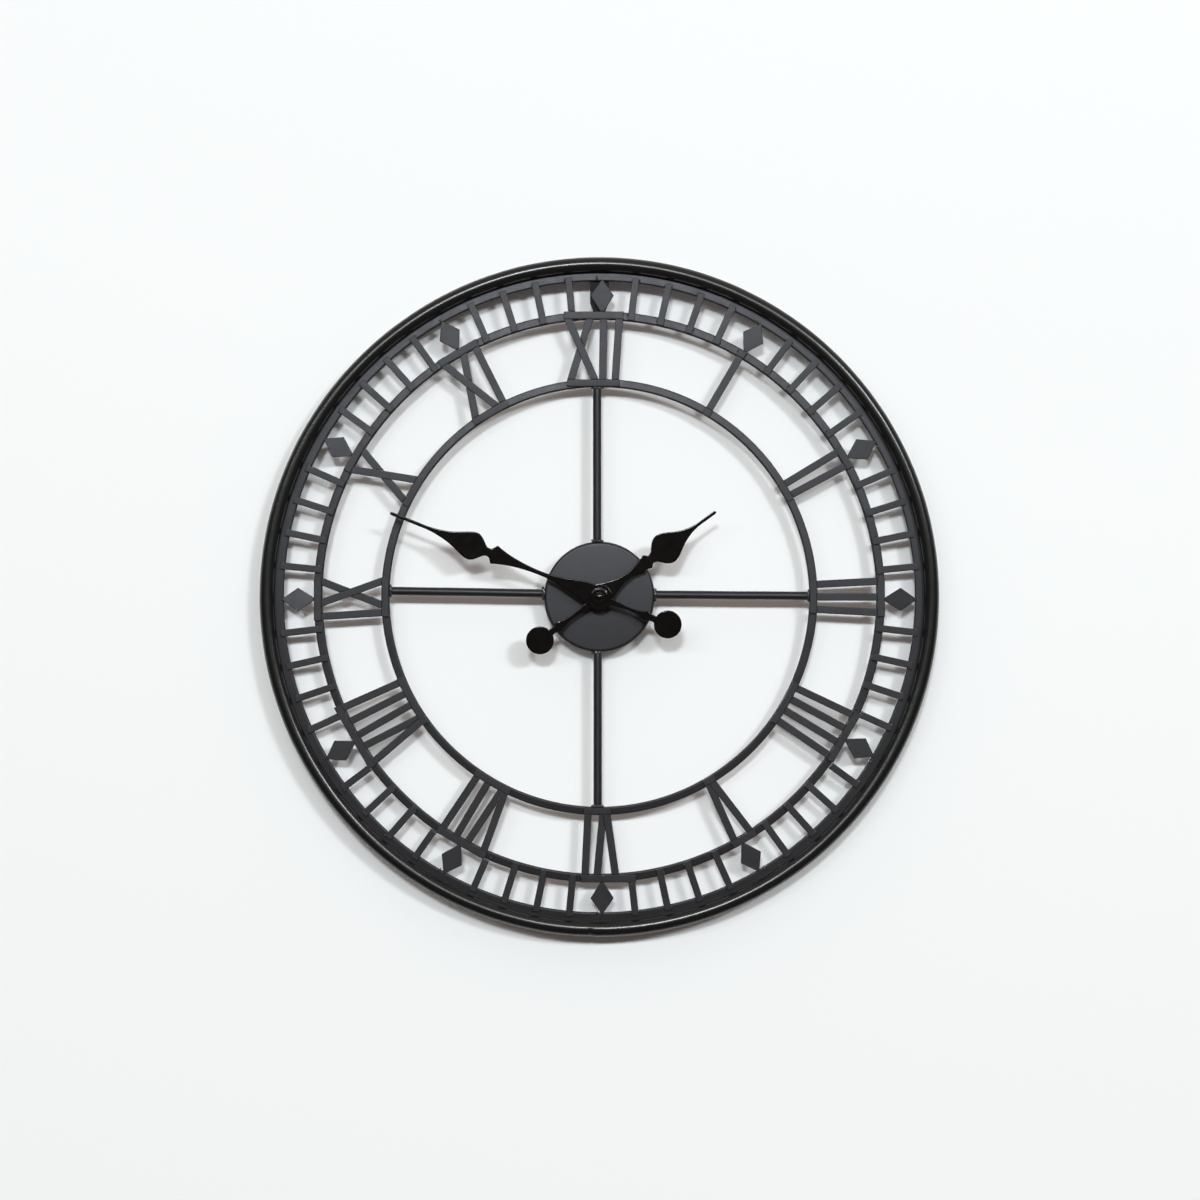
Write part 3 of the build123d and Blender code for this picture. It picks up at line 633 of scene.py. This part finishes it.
def tube(bm, start, end, radius, seed):
    """A drawn rod, very slightly out of straight."""
    rows, sides = 60, 28
    run = (end - start).normalized()
    side = run.cross(Vector((0, 1, 0))).normalized()
    up = side.cross(run)
    around = [2 * math.pi * k / sides for k in range(sides)]
    made = []
    for row in range(rows + 1):
        share = row / rows
        sway = 0.12 * MM * noise.noise(Vector((share * 3, seed, 0))) * math.sin(math.pi * share)
        middle = start.lerp(end, share) + side * sway
        ease = radius - 0.35 * MM if row in (0, rows) else radius
        spokes = [side * math.cos(a) + up * math.sin(a) for a in around]
        made.append([bm.verts.new(middle + spoke * ease) for spoke in spokes])
    for one, two in zip(made, made[1:]):
        for k in range(sides):
            bm.faces.new((one[k], one[(k + 1) % sides], two[(k + 1) % sides], two[k]))
    bm.faces.new(made[0])
    bm.faces.new(list(reversed(made[-1])))


def flow_together(piece, grain, passes):
    """Melt the overlapping lumps of a weld into one skin."""
    melt = piece.modifiers.new("melt", "REMESH")
    melt.mode = "VOXEL"
    melt.voxel_size = grain
    melt.use_smooth_shade = True
    ease = piece.modifiers.new("ease", "SMOOTH")
    ease.factor, ease.iterations = 0.5, passes


def spoke_pieces():
    """The four rods, and the weld lumps where they meet the hub and the numeral ring."""
    rods, welds = bmesh.new(), bmesh.new()
    for index, (start, end) in enumerate(rod_ends("spokes")):
        run = (end - start).normalized()
        sunk = run * 0.3 * MM
        tube(rods, start - sunk, end + sunk, rod_radius, index * 9.0)
        side = run.cross(Vector((0, 1, 0)))
        for place, outwards in ((start, run), (end, -run)):
            at_hub = place is start
            for step in range(7):
                across = -4.2 + 1.4 * step + chance.uniform(-0.4, 0.4)
                arch = math.sqrt(collar_reach ** 2 - across ** 2) * collar_height
                rise = arch + chance.uniform(-0.2, 0.3)
                fall = min(pan_edge, max(0.0, rise - 1))
                skin = math.sqrt(pan_edge ** 2 - fall ** 2) - 2.6 if at_hub else 0.2
                out = (skin + chance.uniform(-0.1, 0.6)) * MM
                at = place + side * across * MM + Vector((0, -rise * MM, 0)) + outwards * out
                size = lump_size((1.4, 2.0), (1.0, 1.3), (0.9, 1.2))
                bead(welds, at, size, along=side, seed=chance.uniform(0, 40), fineness=3)
            for turn in range(12):
                around = math.pi * 2 * turn / 12 + chance.uniform(-0.2, 0.2)
                round_rod = side * math.cos(around) + Vector((0, math.sin(around), 0))
                at = place + round_rod * 3.7 * MM + outwards * 0.7 * MM
                bead(welds, at, (1.15 * MM, 1.15 * MM, 1.15 * MM), seed=chance.uniform(0, 40))
    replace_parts(even_normals(add_piece("spoke_rods", rods, "dial_paint", "frame", 50)), "spokes")
    flow_together(add_piece("spoke_welds", welds, "weld_paint", "frame", 180), 0.32 * MM, 6)


spoke_pieces()


def hub_pan():
    """The pressed pan: a turned-down edge with an even bend, and a face that isn't perfectly flat."""
    radius = radii_of("hub_disc")[1]
    bore = radii_of("hub_disc")[0]
    back, front = depths_of("hub_disc")
    sheet, bend = 1.2 * MM, pan_edge * MM
    edge = radius - bend
    outline = [(radius, back)]
    outline += arc((edge, front - bend), bend, 0, 90, 14)
    outline += [(edge - (edge - bore) * step / 24, front) for step in range(1, 25)]
    outline += [(bore, front - sheet), (edge, front - sheet)]
    outline += arc((edge, front - bend), bend - sheet, 90, 0, 8)
    outline += [(radius - sheet, back)]

    def warp(angle, r, depth):
        fall = 0.9 * MM * (min(r, edge) / edge) ** 2 if depth > back + bend else 0.0
        return r, depth - fall + 0.04 * MM * wander(angle, 1.2 + r * 20, 2.0) * max(0.0, 1 - r / edge)

    made = lathe("hub_pan", outline, "hub_paint", "frame", turns(256), 50, warp)
    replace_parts(made, "hub_disc")
    even_normals(made)


hub_pan()
softened("hanger_plate", 0.35 * MM, 3, look="hanger_paint")


# ---------------------------------------------------------------- hands and what holds them

softened("hour_hand", 0.8 * MM, 5, clamp=False, roll=2.4)
softened("minute_hand", 0.8 * MM, 5, clamp=False, roll=2.4)


def cap():
    """Domed cap nut with a fine knurl on its short side."""
    back, front = depths_of("cap_nut")
    radius = radii_of("cap_nut")[1]
    side_top = back + 1.6 * MM
    outline = [(0.01 * MM, back), (radius - 0.25 * MM, back), (radius, back + 0.25 * MM)]
    outline += [(radius, back + 0.7 * MM), (radius, side_top - 0.2 * MM)]
    rise = front - side_top
    dome = [math.pi / 2 * k / 16 for k in range(1, 16)]
    outline += [(radius * math.cos(a), side_top + rise * math.sin(a)) for a in dome]
    outline += [(0.01 * MM, front)]

    def warp(angle, r, depth):
        knurl = 0.1 * MM * abs(math.sin(angle * 18)) if back < depth < side_top and r > 4 * MM else 0.0
        return r - knurl, depth

    made = lathe("cap_nut_domed", outline, "hand_paint", "minute_hand_set", turns(180), 60, warp)
    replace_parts(even_normals(made), "cap_nut")


cap()
softened("hour_collet", 0.25 * MM, 3)


def bushing():
    """Threaded brass bushing through the hub."""
    inner, outer = radii_of("threaded_bushing")
    back, front = depths_of("threaded_bushing")
    pitch = 0.75 * MM
    rows = 88
    outline = [(inner, front), (inner, back)]
    outline += [(outer, back + (front - back) * row / rows) for row in range(rows + 1)]

    def warp(angle, r, depth):
        if r < outer - 0.01 * MM:
            return r, depth
        phase = (depth / pitch + angle / (2 * math.pi)) % 1.0
        ends = min(1.0, max(0.0, (front - depth) / (0.5 * MM)))
        return r - 0.4 * MM * abs(2 * phase - 1) * ends - 0.35 * MM * (1 - ends), depth

    made = lathe("bushing_threaded", outline, "brass", "frame", turns(96), 70, warp)
    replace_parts(made, "threaded_bushing")


bushing()


def nut():
    """Hexagon nut with both rims of its corners turned to a cone."""
    bore = radii_of("hex_nut")[0]
    corner = radii_of("hex_nut")[1]
    back, front = depths_of("hex_nut")
    flat = corner * math.cos(math.pi / 6)
    ease, shelf = 0.25 * MM, flat - 0.2 * MM
    levels = [back + up * MM for up in (0, 0.15, 0.35)] + [front - down * MM for down in (0.6, 0.4, 0.2, 0)]
    outline = [(bore + ease, front), (bore, front - ease), (bore, back + ease), (bore + ease, back)]
    outline += [(shelf, back)] + [(corner, level) for level in levels] + [(shelf, front)]

    def warp(angle, r, depth):
        if r < corner - 0.001 * MM:
            return r, depth
        side = flat / math.cos((angle + math.pi / 6) % (math.pi / 3) - math.pi / 6)
        cone = flat + min(depth - back, front - depth) * 1.73
        return min(side, cone), depth

    made = lathe("nut_chamfered", outline, "brass", "frame", turns(144), 30, warp)
    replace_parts(even_normals(made), "hex_nut")


nut()
softened("brass_washer", 0.15 * MM, 3)
softened("rubber_washer", 0.3 * MM, 3)


# ---------------------------------------------------------------- movement, seen from the back

softened("movement_case", 0.35 * MM, 2)
softened("movement_cover", 0.25 * MM, 2)
softened("setting_knob", 0.12 * MM, 2)
softened("contact_positive", 0.1 * MM, 2)
softened("contact_negative", 0.1 * MM, 2)


def ribbon(bm, points, width, height, face):
    """A low rounded rib along points (x, z) on a face that looks towards the wall."""
    section = ((-1.0, 0.0), (-0.75, 0.75), (-0.35, 1.0), (0.35, 1.0), (0.75, 0.75), (1.0, 0.0))
    rows = []
    for index, (x, z) in enumerate(points):
        run = Vector(points[min(index + 1, len(points) - 1)]) - Vector(points[max(index - 1, 0)])
        side = Vector((-run.y, run.x)).normalized() * width / 2
        rows.append([bm.verts.new((x + side.x * a, face + height * b, z + side.y * a)) for a, b in section])
    for one, two in zip(rows, rows[1:]):
        for k in range(6):
            bm.faces.new((one[k], one[(k + 1) % 6], two[(k + 1) % 6], two[k]))
    bm.faces.new(rows[0])
    bm.faces.new(list(reversed(rows[-1])))


def cover_marks():
    """Raised marks moulded in the back cover: which way the cell goes, and an arc beside the setting knob."""
    low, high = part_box("movement_cover")
    knob_low, knob_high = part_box("setting_knob")
    face = high.y - 0.05 * MM
    bm = bmesh.new()

    def rib(points, width=0.5, height=0.3):
        ribbon(bm, points, width * MM, height * MM, face)

    line = low.z + 4.2 * MM
    for x, strokes in ((22.5, ((1, 0), (0, 1))), (-22.5, ((1, 0),))):
        middle = Vector((x * MM, line))
        for a, b in strokes:
            reach = Vector((a, b)) * 1.7 * MM
            rib([tuple(middle - reach), tuple(middle), tuple(middle + reach)], 0.7)
    capped_end = ((9, -2.2), (9, -0.9), (10.4, -0.9), (10.4, 0.9), (9, 0.9), (9, 2.2))
    outline = ((-9, -2.2),) + capped_end + ((-9, 2.2), (-9, -2.2))
    for one, two in zip(outline, outline[1:]):
        rib([(one[0] * MM, line + one[1] * MM), (two[0] * MM, line + two[1] * MM)])
    middle = Vector(((knob_low.x + knob_high.x) / 2, (knob_low.z + knob_high.z) / 2))
    sweep = [math.radians(110 + 7 * step) for step in range(21)]
    round_knob = [middle + Vector((math.cos(a), math.sin(a))) * 7 * MM for a in sweep]
    rib(round_knob)
    for tip, a, way in ((round_knob[0], sweep[0], -1), (round_knob[-1], sweep[-1], 1)):
        for lean in (2.5, -2.5):
            barb = a + way * math.pi / 2 + lean
            rib([tip, tip + Vector((math.cos(barb), math.sin(barb))) * 1.6 * MM])
    for z in (high.z - 3.0 * MM, high.z - 4.6 * MM):
        rib([(low.x + 5 * MM, z), (0, z), (high.x - 5 * MM, z)], 0.6, 0.25)
    add_piece("cover_marks", bm, "case_plastic", "frame", 50)


cover_marks()


def cell():
    """Dry cell: film sleeve shrunk over both shoulders, a flat end, and a raised cap at the right."""
    low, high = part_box("battery")
    radius = (high.z - low.z) / 2
    length = high.x - low.x
    shoulder = length - 1.3 * MM
    bend, groove = 0.7 * MM, radius - 0.12 * MM
    bend_turns = (0.0, 0.5, 1.0, 1.571)
    inner, last = radius - bend, shoulder - bend
    outline = [(0.01 * MM, 0.25 * MM), (5.2 * MM, 0.25 * MM), (5.5 * MM, 0)]
    outline += [(inner + bend * math.sin(a), bend - bend * math.cos(a)) for a in bend_turns]
    outline += [(radius, 1.6 * MM), (groove, 2.1 * MM), (groove, 2.5 * MM), (radius, 3.0 * MM)]
    outline += [(radius, shoulder - 2 * bend)]
    outline += [(inner + bend * math.cos(a), last + bend * math.sin(a)) for a in bend_turns]
    outline += [(5.6 * MM, shoulder), (5.3 * MM, shoulder - 0.3 * MM), (2.9 * MM, shoulder - 0.3 * MM)]
    outline += [(2.75 * MM, shoulder), (2.75 * MM, length - 0.3 * MM), (2.6 * MM, length - 0.08 * MM)]
    outline += [(2.35 * MM, length), (0.01 * MM, length)]
    turned = Matrix(((0, -1, 0, 0), (0, 0, 1, 0), (-1, 0, 0, 0), (0, 0, 0, 1)))
    lay = Matrix.Translation((low.x, (low.y + high.y) / 2, (low.z + high.z) / 2)) @ turned
    made = lathe("dry_cell", outline, "battery_sleeve", "cell", turns(128), 50, place=lay)
    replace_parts(even_normals(made), "battery")


cell()


# ---------------------------------------------------------------- stage, lights and camera

corners_of_square = ((-1, -1), (1, -1), (1, 1), (-1, 1))


def panel(name, half, place, material):
    """A square sheet, at place(a, b) for a and b from -half to half."""
    mesh = bpy.data.meshes.new(name)
    mesh.from_pydata([place(a * half, b * half) for a, b in corners_of_square], [], [(0, 1, 2, 3)])
    mesh.materials.append(material)
    made = bpy.data.objects.new(name, mesh)
    bpy.context.scene.collection.objects.link(made)
    return made


def wall_material():
    """Matt white emulsion on the room side. It isn't seen from behind, so the clock's back shows."""
    f = Finish("wall_emulsion", Roughness=0.9, Specular_IOR_Level=0.1)
    f.surface(rgb(0.93, 0.935, 0.94), None, f.bump(f.noise(300, 4), 0.00002))
    tree = f.tree
    clear = tree.nodes.new("ShaderNodeBsdfTransparent")
    choose = tree.nodes.new("ShaderNodeMixShader")
    tree.links.new(tree.nodes.new("ShaderNodeNewGeometry").outputs["Backfacing"], choose.inputs[0])
    tree.links.new(f.shader.outputs[0], choose.inputs[1])
    tree.links.new(clear.outputs[0], choose.inputs[2])
    tree.links.new(choose.outputs[0], tree.nodes["Material Output"].inputs["Surface"])
    return f.material


wall_gap = 0.0002
floor_level = -1.35
wall = panel("wall", 1.3, lambda a, b: (a, wall_gap, b), wall_material())
wall.visible_shadow = False
floor_glow = {"Emission_Color": rgb(0.80, 0.81, 0.82), "Emission_Strength": 0.88}
floor_finish = Finish("pale_floor", Roughness=0.8, Specular_IOR_Level=0.1, **floor_glow)
floor_finish.surface(rgb(0.10, 0.10, 0.10))
floor = panel("floor", 40, lambda a, b: (a, b, floor_level), floor_finish.material)
floor.visible_diffuse = False
floor.visible_glossy = False


def lamp(name, place, width, height, power, colour):
    """A rectangular lamp that points at the dial's centre."""
    light = bpy.data.lights.new(name, "AREA")
    light.shape = "RECTANGLE"
    light.size, light.size_y = width, height
    light.energy = power
    light.color = colour
    made = bpy.data.objects.new(name, light)
    made.location = place
    made.rotation_mode = "QUATERNION"
    made.rotation_quaternion = (-Vector(place)).to_track_quat("-Z", "Y")
    bpy.context.scene.collection.objects.link(made)
    return made


cool = (0.92, 0.98, 1.0)
lamp("softbox_right", (3.75, -7.5, 2.80), 1.15, 0.7, 198, cool)
lamp("softbox_front", (-0.52, -7.5, 2.50), 1.0, 0.6, 236, cool)
lamp("strip_light", (0.0, -7.5, 2.60), 12.5, 0.5, 244, cool)
lamp("back_fill", (-1.6, 4.0, 1.6), 2.5, 2.5, 700, (1, 1, 1))

world = bpy.data.worlds.new("room")
bpy.context.scene.world = world
world.use_nodes = True
sky = world.node_tree
way = sky.nodes.new("ShaderNodeSeparateXYZ")
sky.links.new(sky.nodes.new("ShaderNodeTexCoord").outputs["Generated"], way.inputs[0])
blend = sky.nodes.new("ShaderNodeValToRGB")
height = sky.nodes.new("ShaderNodeMapRange")
height.inputs["From Min"].default_value = -1.0
sky.links.new(way.outputs["Z"], height.inputs["Value"])
sky.links.new(height.outputs["Result"], blend.inputs["Fac"])
sky.links.new(blend.outputs["Color"], sky.nodes["Background"].inputs["Color"])
blend.color_ramp.elements[0].position = 0.25
blend.color_ramp.elements[0].color = rgb(0.130, 0.108, 0.094)
blend.color_ramp.elements[1].position = 0.95
blend.color_ramp.elements[1].color = rgb(0.62, 0.53, 0.47)
blend.color_ramp.elements.new(0.55).color = rgb(0.120, 0.100, 0.088)
pale = sky.nodes.new("ShaderNodeBackground")
pale.inputs["Color"].default_value = rgb(0.82, 0.83, 0.84)
seen = sky.nodes.new("ShaderNodeMixShader")
sky.links.new(sky.nodes.new("ShaderNodeLightPath").outputs["Is Camera Ray"], seen.inputs[0])
sky.links.new(sky.nodes["Background"].outputs[0], seen.inputs[1])
sky.links.new(pale.outputs[0], seen.inputs[2])
sky.links.new(seen.outputs[0], sky.nodes["World Output"].inputs["Surface"])
bpy.context.scene.view_settings.view_transform = "Standard"

lens = bpy.data.cameras.new("camera")
lens.sensor_width = 36.0
lens.lens = 84.14
lens.clip_end = 200
camera = bpy.data.objects.new("camera", lens)
camera.location = (0.0006, -2.5, -0.0027)
camera.rotation_euler = (math.radians(90), 0, 0)
bpy.context.scene.collection.objects.link(camera)
bpy.context.scene.camera = camera
